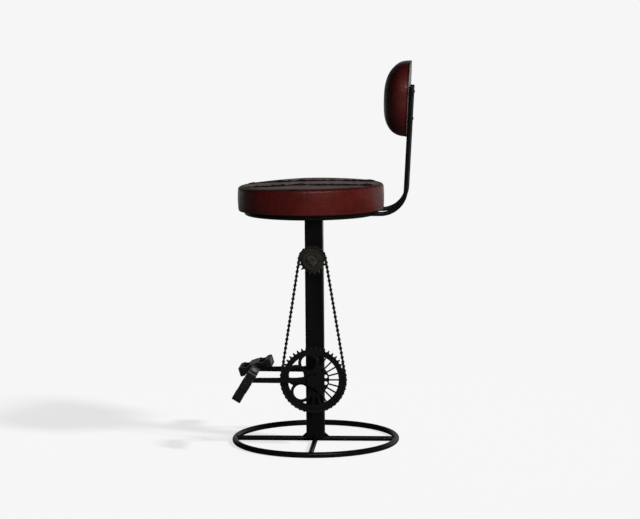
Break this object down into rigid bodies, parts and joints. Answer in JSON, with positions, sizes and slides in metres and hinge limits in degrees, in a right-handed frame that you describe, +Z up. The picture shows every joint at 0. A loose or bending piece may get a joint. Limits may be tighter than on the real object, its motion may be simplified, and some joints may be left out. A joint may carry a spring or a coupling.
{
  "type": "bar stool",
  "caption": "Round leather bar stool with a low backrest on a square post and ring base; bicycle cranks, pedals, chainring and chain form its footrest.",
  "frame": {"origin": "on the floor under the axis of the post", "axes": "+Z up, +X towards the backrest, -Y to the sitter's left, the side of the chain"},
  "size_m": [0.513, 0.468, 1.0633],
  "materials": {
    "black_steel": "satin",
    "drive_paint": "satin",
    "chain_steel": "oily",
    "worn_steel": "worn",
    "bare_steel": "dull",
    "leather": "waxed",
    "plywood": "raw",
    "foam": "open cell",
    "pedal_plastic": "moulded",
    "reflector": "ribbed"
  },
  "bodies": {
    "frame": {"base_ring": "black_steel", "base_long_bar": "black_steel", "base_left_bar": "black_steel", "base_right_bar": "black_steel", "post_tube": "black_steel", "post_gussets": "black_steel", "seat_ring": "black_steel", "seat_long_bar": "black_steel", "seat_left_bar": "black_steel", "seat_right_bar": "black_steel", "seat_lugs": "black_steel", "back_left_rod": "black_steel", "back_right_rod": "black_steel", "bracket_shell": "drive_paint", "bracket_fixed_cup": "drive_paint", "bracket_adjustable_cup": "drive_paint", "bracket_lockring": "drive_paint", "left_crank": "drive_paint", "right_crank": "drive_paint", "chainring": "drive_paint", "chainring_rivets": "drive_paint", "freewheel_stub": "drive_paint", "chain_inner_links": "chain_steel", "chain_outer_links": "chain_steel", "freewheel_ring": "worn_steel", "freewheel_core": "worn_steel", "freewheel_cover": "worn_steel", "seat_screws": "bare_steel", "back_screws": "bare_steel", "bracket_bearings": "bare_steel", "crank_spindle": "bare_steel", "cotter_pins": "bare_steel", "cotter_washers": "bare_steel", "cotter_nuts": "bare_steel", "freewheel_bolt": "bare_steel", "freewheel_washer": "bare_steel", "freewheel_nut": "bare_steel", "seat_band": "leather", "seat_left_strip": "leather", "seat_middle_strip": "leather", "seat_right_strip": "leather", "back_cover": "leather", "seat_board": "plywood", "back_panel": "plywood", "seat_foam": "foam", "back_foam": "foam", "left_pedal_spindle": "bare_steel", "left_pedal_nut": "bare_steel", "right_pedal_spindle": "bare_steel", "right_pedal_nut": "bare_steel"},
    "left_pedal": {"left_pedal_body": "pedal_plastic", "left_pedal_bushes": "pedal_plastic", "left_pedal_cap": "pedal_plastic", "left_pedal_reflectors": "reflector"},
    "right_pedal": {"right_pedal_body": "pedal_plastic", "right_pedal_bushes": "pedal_plastic", "right_pedal_cap": "pedal_plastic", "right_pedal_reflectors": "reflector"}
  },
  "joints": [
    {"name": "left_pedal_spin", "type": "hinge", "parent": "frame", "child": "left_pedal", "pos_m": [-0.18, -0.099, 0.188], "axis": [0, 1, 0], "continuous": true},
    {"name": "right_pedal_spin", "type": "hinge", "parent": "frame", "child": "right_pedal", "pos_m": [-0.18, 0.099, 0.188], "axis": [0, 1, 0], "continuous": true}
  ]
}
